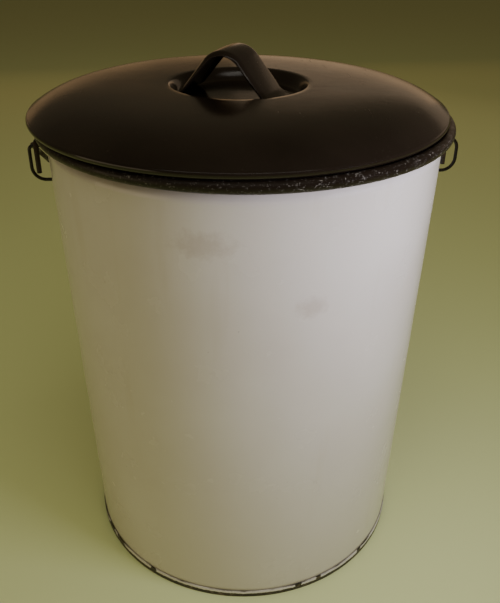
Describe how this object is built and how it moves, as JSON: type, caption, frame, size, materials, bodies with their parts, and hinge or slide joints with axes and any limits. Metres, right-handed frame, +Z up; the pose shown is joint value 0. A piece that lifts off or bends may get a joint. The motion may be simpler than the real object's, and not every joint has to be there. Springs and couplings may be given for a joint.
{
  "type": "lidded enamel bucket",
  "caption": "Tall white enamelled steel bucket with a black rolled rim, wire ears, a swinging bail with a wooden grip, and a lift-off black lid with a strap handle.",
  "frame": {"origin": "where the bucket's upright axis meets the floor it stands on", "axes": "+Z up along the bucket's axis; X along the bail's pivot line from the left ear to the right ear; the bail rests behind, towards +Y"},
  "size_m": [0.3181, 0.3132, 0.399],
  "materials": {
    "white_enamel": "gloss",
    "black_enamel": "gloss",
    "hem_enamel": "gloss",
    "ear_wire": "satin",
    "bail_steel": "satin",
    "rim_steel": "satin",
    "beech": "satin"
  },
  "bodies": {
    "bucket": {"body_shell": "white_enamel", "rim_roll": "black_enamel", "rim_wire": "rim_steel", "bottom_disc": "hem_enamel", "ear_left": "ear_wire", "ear_right": "ear_wire"},
    "lid": {"lid_shell": "black_enamel", "lid_collar": "black_enamel", "strap_handle": "black_enamel"},
    "bail": {"bail_wire": "bail_steel"},
    "grip": {"bail_grip": "beech"}
  },
  "joints": [
    {"name": "lid_lift", "type": "slide", "parent": "bucket", "child": "lid", "axis": [0, 0, 1], "range_m": [0, 0.25]},
    {"name": "bail_swing", "type": "hinge", "parent": "bucket", "child": "bail", "pos_m": [0, 0, 0.332], "axis": [1, 0, 0], "range_deg": [0, 235]},
    {"name": "grip_spin", "type": "hinge", "parent": "bail", "child": "grip", "pos_m": [0, 0.15196, 0.25137], "axis": [1, 0, 0], "continuous": true}
  ]
}
